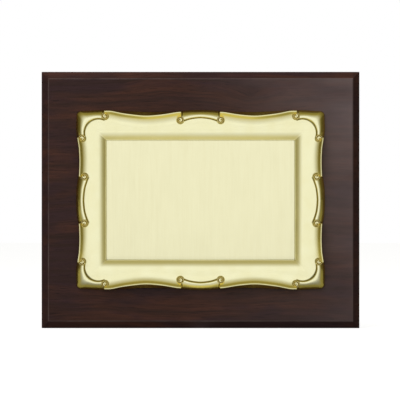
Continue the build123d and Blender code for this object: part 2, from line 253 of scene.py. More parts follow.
class Nodes:
    """A node tree, with short ways to add nodes and join them."""

    def __init__(self, tree: bpy.types.NodeTree) -> None:
        """Starts with the tree emptied."""
        self.tree = tree
        tree.nodes.clear()

    def give(self, node: bpy.types.Node, values: dict) -> bpy.types.Node:
        """Sets or joins a node's inputs.

        Args:
            node: The node.
            values: Socket name or number to a plain value or another node's output.

        Returns:
            The same node.
        """
        for key, value in values.items():
            if isinstance(value, Socket):
                self.tree.links.new(value, node.inputs[key])
            else:
                node.inputs[key].default_value = value
        return node

    def add(self, kind: str, values: dict | None = None, **settings: object) -> bpy.types.Node:
        """Adds a node.

        Args:
            kind: The node's type, without its leading ShaderNode.
            values: Its inputs, as give takes them.
            settings: The node's own properties.

        Returns:
            The node.
        """
        node = self.tree.nodes.new("ShaderNode" + kind)
        for key, value in settings.items():
            setattr(node, key, value)
        return self.give(node, values or {})

    def maths(self, operation: str, first: object, second: object = 0.0) -> Socket:
        """One Math operation on one or two values or sockets."""
        return self.add("Math", {0: first, 1: second}, operation=operation).outputs[0]

    def product(self, first: object, second: object) -> Socket:
        """Two values or sockets multiplied."""
        return self.maths("MULTIPLY", first, second)

    def vector(self, operation: str, first: object, second: object) -> Socket:
        """One Vector Math operation on two vectors or sockets."""
        return self.add("VectorMath", {0: first, 1: second}, operation=operation).outputs[0]

    def length(self, vector: Socket) -> Socket:
        """A vector's length."""
        return self.add("VectorMath", {0: vector}, operation="LENGTH").outputs["Value"]

    def axes(self, vector: Socket) -> bpy.types.NodeOutputs:
        """A vector's parts, by the names X, Y and Z."""
        return self.add("SeparateXYZ", {0: vector}).outputs

    def own(self) -> Socket:
        """The object's own coordinates."""
        return self.add("TexCoord").outputs["Object"]

    def place(self, scale: Colour, shift: Colour = (0, 0, 0)) -> Socket:
        """The object's own coordinates, moved by shift and then scaled."""
        return self.vector("MULTIPLY", self.vector("ADD", self.own(), shift), scale)

    def noise(self, where: Socket, detail: float = 3.0, rough: float = 0.55) -> Socket:
        """Plain fractal noise of scale 1 at the given place."""
        values = {"Vector": where, "Scale": 1.0, "Detail": detail, "Roughness": rough}
        return self.add("TexNoise", values).outputs["Fac"]

    def spread(self, value: Socket, low: float, high: float, to: tuple = (0.0, 1.0)) -> Socket:
        """Stretches a value from low..high to the range given, and keeps it there."""
        values = {"Value": value, "From Min": low, "From Max": high, "To Min": to[0], "To Max": to[1]}
        return self.add("MapRange", values, clamp=True).outputs["Result"]

    def blend(self, share: object, first: object, second: object) -> Socket:
        """Mixes two colours.

        Args:
            share: How much of the second there is, from 0 to 1, as a value or a socket.
            first: The first colour, as an RGB triple or a socket.
            second: The second colour.

        Returns:
            The mixed colour.
        """
        node = self.add("Mix", {"Factor": share}, data_type="RGBA")
        for key, colour in (("A", first), ("B", second)):
            socket = next(s for s in node.inputs if s.name == key and s.type == "RGBA")
            if isinstance(colour, Socket):
                self.tree.links.new(colour, socket)
            else:
                socket.default_value = (*colour, 1.0)
        return next(s for s in node.outputs if s.type == "RGBA")

    def rays(self) -> tuple[Socket, Socket]:
        """Tells what kind of ray meets the surface.

        Returns:
            A socket that is 1 for camera rays, and one that is 1 for glossy and transmission rays.
        """
        path = self.add("LightPath").outputs
        shiny = self.maths("MAXIMUM", path["Is Glossy Ray"], path["Is Transmission Ray"])
        return path["Is Camera Ray"], shiny


class Recipe(Nodes):
    """A new material with its output and its surface shader."""

    def __init__(self, name: str) -> None:
        """Starts the material.

        Args:
            name: The material's name.
        """
        self.material = bpy.data.materials.new(name)
        self.material.use_nodes = True
        super().__init__(self.material.node_tree)
        self.surface = self.add("BsdfPrincipled")
        self.add("OutputMaterial", {"Surface": self.surface.outputs[0]})

    def bump(self, height: Socket, depth: float, strength: float = 1.0) -> None:
        """Roughens the surface by a height of 0 to 1 times the depth in metres."""
        node = self.add("Bump", {"Height": height, "Distance": depth, "Strength": strength})
        self.give(self.surface, {"Normal": node.outputs["Normal"]})


@dataclass(frozen=True)
class LacqueredWood:
    """Dark stained wood under a thin satin lacquer, its grain along X.

    Sizes are in metres. The bevel is the width of the face's bevel. The painted highlight lines stop
    between the two bevel depths behind the face, and the painted sheen between the two flat depths.
    The painted sheen starts at a place on X, and its rise is its share at the foot and the top of
    the face.
    """

    brown: Colour = (0.076, 0.0280, 0.0180)
    plum: Colour = (0.043, 0.0190, 0.0210)
    umber: Colour = (0.033, 0.0150, 0.0110)
    pore: Colour = (0.010, 0.0050, 0.0045)
    # Painted sheen: the paler grey laid on the face towards the upper right.
    sheen_colour: Colour = (0.255, 0.198, 0.200)
    # Painted highlight: the paler colour laid along the bevel's arris and outer edge.
    edge: Colour = (0.100, 0.072, 0.066)
    roughness: tuple[float, float] = (0.42, 0.56)
    gloss: float = 0.16
    knot: Colour = (0.039, 0.0, 0.182)
    knot_shape: Colour = (0.55, 0.0, 1.0)
    knot_size: float = 0.016
    knot_swell: float = 0.006
    sway: float = 0.004
    bevel: float = 0.0056
    bevel_depth: tuple[float, float] = (0.0055, 0.0045)
    flat_depth: tuple[float, float] = (0.0006, 0.0002)
    end_fade: float = 0.0006
    highlight_width: float = 0.0007
    sheen_start: float = -0.02
    sheen_rise: tuple[float, float] = (0.25, 1.0)

    def material(self) -> bpy.types.Material:
        """Streaks of three stains, bent round one knot, with fine pores along the grain.

        The grain is noise stretched along X. Near the knot the place is moved by the square of
        the nearness to it, so that the grain flows round it.

        Returns:
            The material.
        """
        recipe = Recipe("lacquered_wood")
        own = recipe.own()
        offset = recipe.vector("SUBTRACT", own, self.knot)
        far = recipe.length(recipe.vector("MULTIPLY", offset, self.knot_shape))
        near = recipe.spread(far, 0.0, self.knot_size, (1.0, 0.0))
        swell = recipe.product(recipe.maths("POWER", near, 2.0), self.knot_swell)
        rise = recipe.add("CombineXYZ", {"Z": swell}).outputs[0]
        wander = recipe.noise(recipe.place((7.0, 9.0, 16.0), (0.3, 0.1, 0.2)), 2.0)
        drift = recipe.spread(wander, 0.3, 0.7, (-self.sway, self.sway))
        slide = recipe.add("CombineXYZ", {"Z": drift}).outputs[0]
        bent = recipe.vector("ADD", recipe.vector("ADD", own, rise), slide)

        def grain(scale: Colour, detail: float, rough: float) -> Socket:
            """Noise in the bent place, at its own scale."""
            return recipe.noise(recipe.vector("MULTIPLY", bent, scale), detail, rough)

        broad = recipe.spread(grain((16.0, 60.0, 62.0), 3.0, 0.55), 0.42, 0.60)
        streak = recipe.spread(grain((12.0, 260.0, 300.0), 4.0, 0.6), 0.36, 0.72)
        fine = grain((60.0, 900.0, 1300.0), 3.0, 0.65)
        pores = recipe.spread(grain((110.0, 1500.0, 1700.0), 2.0, 0.5), 0.60, 0.74)
        core = recipe.product(recipe.maths("POWER", near, 3.0), 0.5)
        stain = recipe.blend(broad, self.brown, self.plum)
        stain = recipe.blend(streak, stain, self.umber)
        stain = recipe.blend(recipe.spread(fine, 0.45, 0.75, (0.0, 0.35)), stain, self.pore)
        stain = recipe.blend(recipe.product(pores, 0.6), stain, self.pore)
        stain = recipe.blend(core, stain, self.pore)
        stain = recipe.blend(self.end_grain(recipe), stain, self.pore)
        # Painted sheen: a paler grey patch towards the upper right of the face, where the lacquer
        # would reflect the light.
        stain = recipe.blend(self.painted_sheen(recipe), stain, self.sheen_colour)
        # Painted highlights: paler lines along the bevel's arris and outer edge, where the rounded
        # edges would catch the light.
        stain = recipe.blend(self.edge_highlights(recipe), stain, self.edge)
        polish = recipe.spread(fine, 0.3, 0.7, self.roughness)
        recipe.give(
            recipe.surface,
            {"Base Color": stain, "Roughness": polish, "Specular IOR Level": self.gloss},
        )
        recipe.bump(recipe.maths("SUBTRACT", fine, recipe.product(pores, 0.8)), 0.00004, 0.6)
        return recipe.material

    def end_grain(self, recipe: Recipe) -> Socket:
        """The darker left and right edges, cut across the grain, which soak up the stain.

        Args:
            recipe: The wood's recipe.

        Returns:
            How much darker each place is.
        """
        right = recipe.maths("ABSOLUTE", recipe.axes(recipe.own())["X"])
        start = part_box("board")[1].x - self.bevel
        return recipe.spread(right, start, start + self.end_fade, (0.0, 0.3))

    def edge_highlights(self, recipe: Recipe) -> Socket:
        """Painted highlights: paler lines along the bevel's arris and its outer edge.

        The place outside the arris is the larger of the two sideways distances from it. The
        lines are narrow ramps across it, broken up by noise along it.

        Args:
            recipe: The wood's recipe.

        Returns:
            How strong the painted highlight is at each place, from 0 to 1.
        """
        low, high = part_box("board")
        own = recipe.axes(recipe.own())
        right = recipe.maths("ABSOLUTE", own["X"])
        middle = (low.z + high.z) / 2
        rise = recipe.maths("ABSOLUTE", recipe.maths("SUBTRACT", own["Z"], middle))
        out_x = recipe.maths("SUBTRACT", right, high.x - self.bevel)
        out_z = recipe.maths("SUBTRACT", rise, high.z - middle - self.bevel)
        out = recipe.maths("MAXIMUM", out_x, out_z)
        line = recipe.spread(recipe.maths("ABSOLUTE", out), 0.0, self.highlight_width, (1.0, 0.0))
        rim = recipe.spread(out, self.bevel - self.highlight_width, self.bevel, (0.0, 0.8))
        highlight_breakup = recipe.spread(recipe.noise(recipe.place((70.0, 70.0, 70.0))), 0.3, 0.7, (0.3, 1.0))
        front = recipe.spread(own["Y"], *(low.y + depth for depth in self.bevel_depth))
        return recipe.product(recipe.product(recipe.maths("MAXIMUM", line, rim), highlight_breakup), front)

    def painted_sheen(self, recipe: Recipe) -> Socket:
        """Painted sheen: a paler patch, strongest towards the upper right of the flat face.

        Args:
            recipe: The wood's recipe.

        Returns:
            How strong the painted sheen is at each place, from 0 to 1.
        """
        low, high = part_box("board")
        own = recipe.axes(recipe.own())
        flat = recipe.spread(own["Y"], *(low.y + depth for depth in self.flat_depth))
        right = recipe.product(recipe.spread(own["X"], self.sheen_start, high.x), flat)
        up = recipe.spread(own["Z"], 0.0, high.z, self.sheen_rise)
        both = recipe.product(recipe.maths("POWER", right, 1.5), up)
        cloud = recipe.noise(recipe.place((14.0, 20.0, 40.0)))
        return recipe.product(both, recipe.spread(cloud, 0.3, 0.7, (0.35, 0.75)))


@dataclass(frozen=True)
class GiltSheet:
    """Pale gold plating on a pressed sheet, with painted shade: deeper gold on its slopes and dark in
    its grooves.
    """

    pale: Colour = (0.87, 0.845, 0.55)
    # Painted shade: the deeper gold laid on the slopes.
    deep: Colour = (0.84, 0.69, 0.14)
    # Painted shade: the dark colour laid in the grooves and steps.
    stain: Colour = (0.16, 0.125, 0.015)
    roughness: tuple[float, float] = (0.16, 0.25)

    def material(self) -> bpy.types.Material:
        """Mixes the golds by the mesh's painted slope shade and painted groove shade, with a faint
        uneven polish.

        Returns:
            The material.
        """
        recipe = Recipe("gilt_sheet")
        tone = recipe.add("Attribute", attribute_name="toning").outputs["Fac"]
        dark = recipe.add("Attribute", attribute_name="patina").outputs["Fac"]
        cloud = recipe.noise(recipe.place((90.0, 90.0, 90.0)), 4.0)
        orange_peel = recipe.noise(recipe.place((420.0, 420.0, 420.0)))
        # Painted shade: the slopes turn deeper gold by their lean from the front.
        gold = recipe.blend(tone, self.pale, self.deep)
        gold = recipe.blend(recipe.spread(cloud, 0.35, 0.75, (0.0, 0.10)), gold, self.deep)
        # Painted shade: the grooves and the scrolls' steps turn dark.
        gold = recipe.blend(recipe.product(dark, 0.9), gold, self.stain)
        polish = recipe.spread(cloud, 0.3, 0.7, self.roughness)
        recipe.give(recipe.surface, {"Base Color": gold, "Metallic": 1.0, "Roughness": polish})
        recipe.bump(orange_peel, 0.00003, 0.25)
        return recipe.material


@dataclass(frozen=True)
class SatinPlate:
    """Pale gold plating over a plate that is brushed from top to bottom."""

    base: Colour = (0.925, 0.895, 0.60)
    shade: Colour = (0.82, 0.765, 0.46)
    roughness: tuple[float, float] = (0.29, 0.40)

    def material(self) -> bpy.types.Material:
        """Fine upright scratches, as noise stretched along Z, in colour, polish and height.

        Returns:
            The material.
        """
        recipe = Recipe("satin_plate")
        scratch = recipe.noise(recipe.place((2600.0, 40.0, 55.0)), 3.0, 0.6)
        wide = recipe.noise(recipe.place((420.0, 40.0, 12.0), (0.7, 0.0, 0.3)), 2.0)
        gold = recipe.blend(recipe.spread(scratch, 0.35, 0.8, (0.0, 0.22)), self.base, self.shade)
        gold = recipe.blend(recipe.spread(wide, 0.4, 0.8, (0.0, 0.12)), gold, self.shade)
        polish = recipe.spread(scratch, 0.3, 0.7, self.roughness)
        recipe.give(recipe.surface, {"Base Color": gold, "Metallic": 1.0, "Roughness": polish})
        recipe.bump(scratch, 0.00002, 0.35)
        return recipe.material


@dataclass(frozen=True)
class PlatedSteel:
    """Zinc plated stamped steel, faintly clouded and scratched."""

    bright: Colour = (0.66, 0.66, 0.64)
    dull: Colour = (0.42, 0.42, 0.40)
    roughness: tuple[float, float] = (0.24, 0.42)

    def material(self) -> bpy.types.Material:
        """Cloudy plating under fine scratches along X.

        Returns:
            The material.
        """
        recipe = Recipe("plated_steel")
        cloud = recipe.noise(recipe.place((260.0, 260.0, 260.0)), 4.0)
        scratch = recipe.noise(recipe.place((160.0, 2400.0, 3000.0)), 2.0)
        metal = recipe.blend(recipe.spread(cloud, 0.35, 0.7), self.bright, self.dull)
        metal = recipe.blend(recipe.spread(scratch, 0.55, 0.8, (0.0, 0.4)), metal, self.dull)
        polish = recipe.spread(cloud, 0.3, 0.7, self.roughness)
        recipe.give(recipe.surface, {"Base Color": metal, "Metallic": 1.0, "Roughness": polish})
        recipe.bump(scratch, 0.00003, 0.4)
        return recipe.material


@dataclass(frozen=True)
class ShortFelt:
    """Short black felt with a soft nap and a few paler fibres."""

    black: Colour = (0.014, 0.014, 0.016)
    fibre: Colour = (0.060, 0.060, 0.064)

    def material(self) -> bpy.types.Material:
        """Matted fibres at three scales, with a sheen for the nap.

        Returns:
            The material.
        """
        recipe = Recipe("short_felt")
        matted = recipe.noise(recipe.place((1500.0, 1500.0, 1500.0)), 4.0, 0.7)
        strand = recipe.noise(recipe.place((500.0, 2500.0, 4200.0)), 3.0, 0.7)
        drift = recipe.noise(recipe.place((70.0, 70.0, 70.0)))
        cloth = recipe.blend(recipe.spread(matted, 0.4, 0.8), self.black, self.fibre)
        cloth = recipe.blend(recipe.spread(strand, 0.6, 0.8, (0.0, 0.5)), cloth, self.fibre)
        cloth = recipe.blend(recipe.spread(drift, 0.3, 0.8, (0.0, 0.5)), cloth, self.black)
        recipe.give(
            recipe.surface,
            {
                "Base Color": cloth,
                "Roughness": 0.95,
                "Specular IOR Level": 0.2,
                "Sheen Weight": 0.35,
                "Sheen Roughness": 0.5,
            },
        )
        recipe.bump(matted, 0.00025, 0.8)
        return recipe.material


@dataclass(frozen=True)
class Hardboard:
    """Brown pressed board with short dark fibres."""

    ground: Colour = (0.20, 0.108, 0.055)
    fleck: Colour = (0.075, 0.038, 0.020)

    def material(self) -> bpy.types.Material:
        """Short dark fibres lying every way in a brown ground.

        Returns:
            The material.
        """
        recipe = Recipe("hardboard")
        fibres = recipe.noise(recipe.place((900.0, 1500.0, 500.0)), 5.0, 0.7)
        flecks = recipe.noise(recipe.place((300.0, 2600.0, 260.0), (0.2, 0.0, 0.4)), 4.0, 0.6)
        brown = recipe.blend(recipe.spread(fibres, 0.35, 0.7), self.ground, self.fleck)
        brown = recipe.blend(recipe.spread(flecks, 0.55, 0.75, (0.0, 0.6)), brown, self.fleck)
        recipe.give(
            recipe.surface,
            {"Base Color": brown, "Roughness": 0.62, "Specular IOR Level": 0.35},
        )
        recipe.bump(fibres, 0.00008, 0.5)
        return recipe.material


@dataclass(frozen=True)
class SoftPlastic:
    """A plain dull rubber, foam or glue with a fine uneven skin."""

    name: str
    tone: Colour
    worn: Colour
    roughness: float
    grain: float
    uneven: float = 0.08

    def material(self) -> bpy.types.Material:
        """Mixes the tone with its worn shade by noise, and dimples the skin.

        Returns:
            The material.
        """
        recipe = Recipe(self.name)
        skin = recipe.noise(recipe.place((self.grain, self.grain, self.grain)), 4.0)
        colour = recipe.blend(recipe.spread(skin, 0.4, 0.75), self.tone, self.worn)
        span = (self.roughness - self.uneven, self.roughness + self.uneven)
        polish = recipe.spread(skin, 0.3, 0.7, span)
        recipe.give(recipe.surface, {"Base Color": colour, "Roughness": polish})
        recipe.bump(skin, 0.00006, 0.4)
        return recipe.material


@dataclass(frozen=True)
class Finishes:
    """Every material of the plaque, each made once."""

    wood: bpy.types.Material
    gilt: bpy.types.Material
    plate: bpy.types.Material
    steel: bpy.types.Material
    felt: bpy.types.Material
    hardboard: bpy.types.Material
    rubber: bpy.types.Material
    foam: bpy.types.Material
    glue: bpy.types.Material

    @staticmethod
    def mixed() -> "Finishes":
        """Mixes all the finishes.

        Returns:
            The finishes, with one material each.
        """
        rubber = SoftPlastic("bumper_rubber", (0.018, 0.018, 0.019), (0.05, 0.05, 0.05), 0.6, 900.0)
        foam = SoftPlastic("foam_tape", (0.80, 0.80, 0.77), (0.62, 0.62, 0.59), 0.85, 1600.0)
        glue = SoftPlastic("clear_glue", (0.72, 0.69, 0.60), (0.58, 0.55, 0.46), 0.35, 500.0)
        return Finishes(
            wood=LacqueredWood().material(),
            gilt=GiltSheet().material(),
            plate=SatinPlate().material(),
            steel=PlatedSteel().material(),
            felt=ShortFelt().material(),
            hardboard=Hardboard().material(),
            rubber=rubber.material(),
            foam=foam.material(),
            glue=glue.material(),
        )


def dress(piece: bpy.types.Object, material: bpy.types.Material) -> None:
    """Gives a CAD node one material on every face, without touching its mesh.

    Args:
        piece: The node's object.
        material: Its finish.
    """
    if not piece.data.materials:
        piece.data.materials.append(material)
    for own in piece.material_slots:
        own.link = "OBJECT"
        own.material = material
    LOG.info("%s: %s", piece.name, material.name)


def settle(
    piece: bpy.types.Object,
    body: Body,
    material: bpy.types.Material,
    nodes: tuple[str, ...] = (),
) -> None:
    """Dresses a new piece, puts it on its body and hides the CAD nodes that it replaces.

    Args:
        piece: The new piece.
        body: The body that it rides on.
        material: Its finish.
        nodes: The CAD nodes that it replaces.
    """
    piece.data.materials.append(material)
    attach(piece, body.value)
    if nodes:
        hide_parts(*nodes)
    LOG.info("%s: %d faces, %s", piece.name, len(piece.data.polygons), material.name)


# ---------------------------------------------------------------- the gilt tray and its plate


def half_size(node: str) -> tuple[float, float]:
    """Half a CAD node's width and height, in millimetres."""
    low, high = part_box(node)
    return (high.x - low.x) / 2 / MM, (high.z - low.z) / 2 / MM


def tone(piece: bpy.types.Object, patina: np.ndarray, least: float = 0.0) -> None:
    """Writes two values of painted shade on each vertex, for the gilt: one by slope, one in the
    grooves.

    The slope value is how far it leans from the front, 0 for level to 1 for steep, as the smooth step
    of the cosine of the lean, from LEVEL_LEAN to STEEP_LEAN degrees; the gilt paints steep places
    deeper gold as shade.

    Args:
        piece: The gilt piece.
        patina: How dark the painted shade in the grooves is at each vertex, from 0 to 1.
        least: The least slope shade a vertex gets.
    """
    mesh = piece.data
    normals = np.empty(len(mesh.vertices) * 3)
    mesh.vertex_normals.foreach_get("vector", normals)
    facing = -normals.reshape(-1, 3)[:, 1]
    lean = 1 - ease(facing, math.cos(math.radians(STEEP_LEAN)), math.cos(math.radians(LEVEL_LEAN)))
    for name, values in (("toning", np.maximum(lean, least)), ("patina", patina)):
        layer = mesh.attributes.new(name, "FLOAT", "POINT")
        layer.data.foreach_set("value", values.astype(np.float32))


@dataclass
class Relief:
    """Heights of the pressed tray above the board's face, in millimetres, by inset from its foot.

    The valleys between the scrolls end in a thin raised edge; the scrolls have a rolled shoulder
    with an incised line inside it. Between the two the tray is a level shelf, and a cove falls
    from the shelf to the sunken floor.
    """

    floor: float = 1.8
    shelf: float = 4.4
    cove_places: tuple = (0.0, 0.4, 2.0, 3.5, 5.0, 6.6, 8.2)
    cove_heights: tuple = (1.8, 1.98, 2.84, 3.56, 4.04, 4.31, 4.4)
    groove: float = 6.9
    groove_flank: tuple = (0.1, 0.9)
    lip_inset: float = 0.25
    lip_height: float = 3.4
    brow_inset: float = 0.6
    brow_height: float = 6.9
    valley_insets: tuple = (0.6, 0.85, 1.1, 1.45, 1.9, 2.6, 3.4, 5.0, 6.5, 8.1, 9.7, 11.2)
    valley_heights: tuple = (6.9, 7.45, 7.6, 7.5, 7.26, 6.76, 6.16, 5.38, 4.9, 4.61, 4.46, 4.4)
    scroll_insets: tuple = (
        0.0, 0.2, 0.6, 1.1, 1.8, 2.6, 3.4, 4.2, 4.8,
        5.3, 5.9, 6.35, 6.62, 6.9, 7.2, 7.7, 11.0, 13.0,
    )
    scroll_heights: tuple = (
        0.0, 1.1, 1.9, 2.7, 3.6, 4.43, 5.05, 5.47, 5.66,
        5.7, 5.6, 5.3, 4.9, 4.0, 4.65, 4.74, 4.45, 4.4,
    )

    def edge(
        self, inset: np.ndarray, groove: np.ndarray, scroll: np.ndarray, skirt: np.ndarray
    ) -> np.ndarray:
        """The height near the tray's edge.

        Args:
            inset: How far inside the foot.
            groove: How far inside the foot the incised line runs there.
            scroll: 1 on a scroll, 0 in a valley, and between at their joints.
            skirt: How far a valley's crest is moved inwards there.

        Returns:
            The valley's section and the scroll's, mixed by scroll. The valley's rises steeply to
            its lip, then evenly to its brow, and from there is a smooth curve through its points.
            The scroll's is such a curve, stretched so that its line meets the groove, and just
            inside the groove it goes over into the valley's.
        """
        past = inset - skirt
        slope = (inset - self.lip_inset) / (skirt + self.brow_inset - self.lip_inset)
        flank = self.lip_height + (self.brow_height - self.lip_height) * slope
        flank = np.where(inset < self.lip_inset, self.lip_height * inset / self.lip_inset, flank)
        crest = through(past, self.valley_insets, self.valley_heights)
        valley = np.where(past < self.brow_inset, flank, crest)
        rolled = through(inset * self.groove / groove, self.scroll_insets, self.scroll_heights)
        start, end = self.groove_flank
        rolled = rolled + (valley - rolled) * ease(inset, groove + start, groove + end)
        return valley + (rolled - valley) * scroll

    def inner(self, out: np.ndarray) -> np.ndarray:
        """The cove's height by distance outside the floor: steep at first, level at the shelf."""
        return through(out, self.cove_places, self.cove_heights)


@dataclass(frozen=True)
class Edge:
    """One quarter of the tray's edge, place by place, in millimetres about its centre.

    The foot is where the skirt stands on the wood. The target is the point of the floor's edge
    that it is joined to. Scroll is 1 on a scroll, 0 in a valley, and between at their joints.
    """

    foot: np.ndarray
    target: np.ndarray
    scroll: np.ndarray

    @property
    def length(self) -> np.ndarray:
        """How far it is from the foot to the floor's edge."""
        return np.linalg.norm(self.target - self.foot, axis=-1)

    @property
    def heading(self) -> np.ndarray:
        """The way inwards from the foot, as unit vectors."""
        return (self.target - self.foot) / self.length[:, None]


@dataclass
class Salver:
    """The pressed gilt tray: scrolled edge, shelf, cove, sunken floor and hollow underside.

    Sizes are in millimetres. Places along the edge are measured from the tray's middle.
    """

    relief: Relief = field(default_factory=Relief)
    corner_radius: float = 3.8
    corner_share: float = 1.5
    side_places: tuple = (0.0, 8.0, 15.0, 20.0, 30.0, 40.0, 47.0, 56.0, 64.0, 80.0)
    side_insets: tuple = (0.0, 0.25, 1.1, 1.9, 2.2, 1.8, 0.8, 0.05, 0.3, 0.5)
    top_places: tuple = (0.0, 8.0, 15.0, 20.0, 39.0, 60.0, 72.0, 82.0, 91.0, 110.0)
    top_insets: tuple = (0.0, 0.25, 0.9, 1.1, 1.6, 0.8, 0.05, 0.35, 0.9, 1.0)
    skirt_places: tuple = (18.0, 31.0, 43.0, 56.0, 70.0)
    skirt_widths: tuple = (0.0, 1.6, 2.3, 1.6, 0.0)
    side_scroll: float = 17.6
    corner_rise: float = 49.2
    top_scroll: float = 14.4
    corner_run: float = 75.6
    joint: float = 0.8
    joint_reach: float = 2.5
    corner_line_centre: tuple = (79.3, 52.2)
    corner_line_radius: float = 10.7
    line_middle: float = 6.3
    line_end: float = 8.6
    line_limits: tuple = (4.0, 14.0)
    line_width: float = 0.34
    # How dark the painted shade at the scrolls' steps is.
    step_shade: float = 0.8
    step_fade: tuple = (4.0, 6.0)
    mitre_start: float = 0.05
    mitre_growth: float = 0.14
    wall: float = 0.8
    floor_wall: float = 0.78
    hollow_inset: float = 3.4
    hollow_height: float = 3.3
    hollow_margin: float = 9.5
    points_per_quarter: int = 260
    trial_points: int = 4000
    scroll_crowding: float = 1.3
    joint_crowding: float = 3.5
    close_rings: tuple = ((0.0, 0.5, 5), (0.62, 2.0, 11), (2.3, 5.6, 11), (5.8, 9.0, 17))
    open_rings: int = 17
    open_crowding: float = 0.9

    def outline(self) -> Edge:
        """The foot's wavy outline for one quarter.

        The foot is a rounded rectangle drawn inwards by a smooth curve of the place along each
        side. Points crowd where the edge has scrolls and at their joints.

        Returns:
            The edge, from the right middle to the top middle.
        """
        half_x, half_z = half_size("salver")
        trial = np.linspace(0, 1, self.trial_points)
        points = rounded_rectangle(half_x, half_z, self.corner_radius, trial)
        crowd = 1 + self.scroll_crowding * self.scrolled(points)
        crowd = crowd + self.joint_crowding * self.at_joint(points)
        reach = np.cumsum(crowd) - crowd[0]
        along = np.interp(np.linspace(0, 1, self.points_per_quarter), reach / reach[-1], trial)
        foot = rounded_rectangle(half_x, half_z, self.corner_radius, along)
        scroll = self.scrolled(foot)
        pull_x = through(foot[:, 1], self.side_places, self.side_insets)
        pull_z = through(foot[:, 0], self.top_places, self.top_insets)
        bend = self.corner_share * self.corner_radius
        share_x = ease(foot[:, 0], half_x - bend, half_x)
        share_z = ease(foot[:, 1], half_z - bend, half_z)
        foot = foot - np.stack([pull_x * share_x, pull_z * share_z], -1)
        return Edge(foot, np.minimum(foot, half_size("inscription_plate")), scroll)

    def scrolled(self, points: np.ndarray) -> np.ndarray:
        """Tells scrolls from valleys.

        Args:
            points: Places on the foot's plain outline as (place, 2).

        Returns:
            1 on the side, top and corner scrolls and 0 in the valleys, eased over their joints.
        """
        x, z = points[:, 0], points[:, 1]

        def past(place: np.ndarray, joint: float) -> np.ndarray:
            """0 before a joint and 1 after it."""
            return ease(place, joint - self.joint, joint + self.joint)

        middle = np.where(z < self.corner_rise, 1 - past(z, self.side_scroll), 0)
        corner = past(z, self.corner_rise) * past(x, self.corner_run)
        top = 1 - past(x, self.top_scroll)
        return np.clip(middle + corner + top, 0, 1)

    def at_joint(self, points: np.ndarray) -> np.ndarray:
        """Finds the four places along a quarter where a scroll meets a valley.

        Args:
            points: Places on the foot's plain outline as (place, 2).

        Returns:
            The sum of bell curves about them.
        """
        x, z = points[:, 0], points[:, 1]

        def bell(place: np.ndarray, joint: float) -> np.ndarray:
            """A bell curve about one joint."""
            return np.exp(-(((place - joint) / self.joint_reach) ** 2))

        side = bell(z, self.side_scroll) + bell(z, self.corner_rise)
        top = bell(x, self.top_scroll) + bell(x, self.corner_run)
        return np.where(x > self.corner_run, side, top)

    def incised_line(self, edge: Edge) -> np.ndarray:
        """How far inside the foot the line inside each scroll runs.

        On a middle scroll it goes deeper as the square of the distance from the scroll's middle.
        In a corner it is where the way inwards meets a circle.

        Args:
            edge: The tray's edge.

        Returns:
            The line's inset at each place.
        """
        x, z = edge.foot[:, 0], edge.foot[:, 1]

        def bowed(place: np.ndarray, end: float) -> np.ndarray:
            """The line of a middle scroll that ends at the given place."""
            share = np.clip(place / end, 0, 1) ** 2
            return self.line_middle + (self.line_end - self.line_middle) * share

        back = edge.foot - self.corner_line_centre
        half = (back * edge.heading).sum(-1)
        inside = half**2 - (back**2).sum(-1) + self.corner_line_radius**2
        corner = -half - np.sqrt(np.clip(inside, 0, None))
        above = z > self.corner_rise - 2 * self.joint
        beyond = x > self.corner_run - 2 * self.joint
        in_corner = np.where(x > self.corner_run, above, beyond)
        line = np.where(above, bowed(x, self.top_scroll), bowed(z, self.side_scroll))
        return np.clip(np.where(in_corner, corner, line), *self.line_limits)

    def insets(self, edge: Edge, line: np.ndarray) -> np.ndarray:
        """How far inside the foot each ring runs.

        The rings are close together over the edge's relief, where they are stretched to follow
        the incised line, and further apart from there to the floor.

        Args:
            edge: The tray's edge.
            line: The incised line's inset at each place.

        Returns:
            The insets as (ring, place).
        """
        near = np.concatenate([np.linspace(*run) for run in self.close_rings])
        deep = near[None, :] * np.clip(line / self.relief.groove, 1, None)[:, None]
        rest = np.linspace(0, 1, self.open_rings)[1:] ** self.open_crowding
        far = deep[:, -1:] + (edge.length[:, None] - deep[:, -1:]) * rest
        return np.concatenate([deep, far], axis=1).T

    def outside(self, edge: Edge, flat: np.ndarray) -> np.ndarray:
        """How far outside the floor each point is.

        It is the larger of the two sideways distances, rounded over along the mitre by more the
        further out it is.

        Args:
            edge: The tray's edge.
            flat: The points as (ring, place, 2).

        Returns:
            The distances as (ring, place).
        """
        out = np.clip(flat - edge.target.max(0), 0, None)
        gap = np.abs(out[..., 0] - out[..., 1])
        soft = self.mitre_growth * out.max(-1) + self.mitre_start
        return out.max(-1) + np.clip(1 - gap / soft, 0, None) ** 2 * soft / 4

    def shaded_grooves(self, edge: Edge, line: np.ndarray, inset: np.ndarray) -> np.ndarray:
        """Painted shade: how dark each point is in the incised lines and the steps at scrolls' ends.

        Args:
            edge: The tray's edge.
            line: The incised line's inset at each place.
            inset: The points' own insets as (ring, place).

        Returns:
            The painted shade as (ring, place), from 0 to 1.
        """
        across = (inset - line) * self.relief.groove / line / self.line_width
        groove = np.exp(-(across**2)) * edge.scroll
        step = 4 * edge.scroll * (1 - edge.scroll) * (1 - ease(inset, *self.step_fade))
        return np.clip(groove + self.step_shade * step, 0, 1)

    def underside(self, edge: Edge) -> tuple[np.ndarray, np.ndarray]:
        """The hollow underside, from the floor's edge out to the inside of the foot.

        Args:
            edge: The tray's edge.

        Returns:
            Four rings as (ring, place, 2), and their heights as (ring, place).
        """
        margin = edge.target.max(0) + self.hollow_margin
        rows = (
            (edge.target, self.relief.floor - self.floor_wall),
            (np.minimum(edge.foot, margin), self.hollow_height),
            (edge.foot + self.hollow_inset * edge.heading, self.hollow_height),
            (edge.foot + self.wall * edge.heading, 0.0),
        )
        rings = np.stack([four_quarters(quarter) for quarter, _ in rows])
        levels = np.array([level for _, level in rows])
        return rings, np.repeat(levels[:, None], rings.shape[1], axis=1)

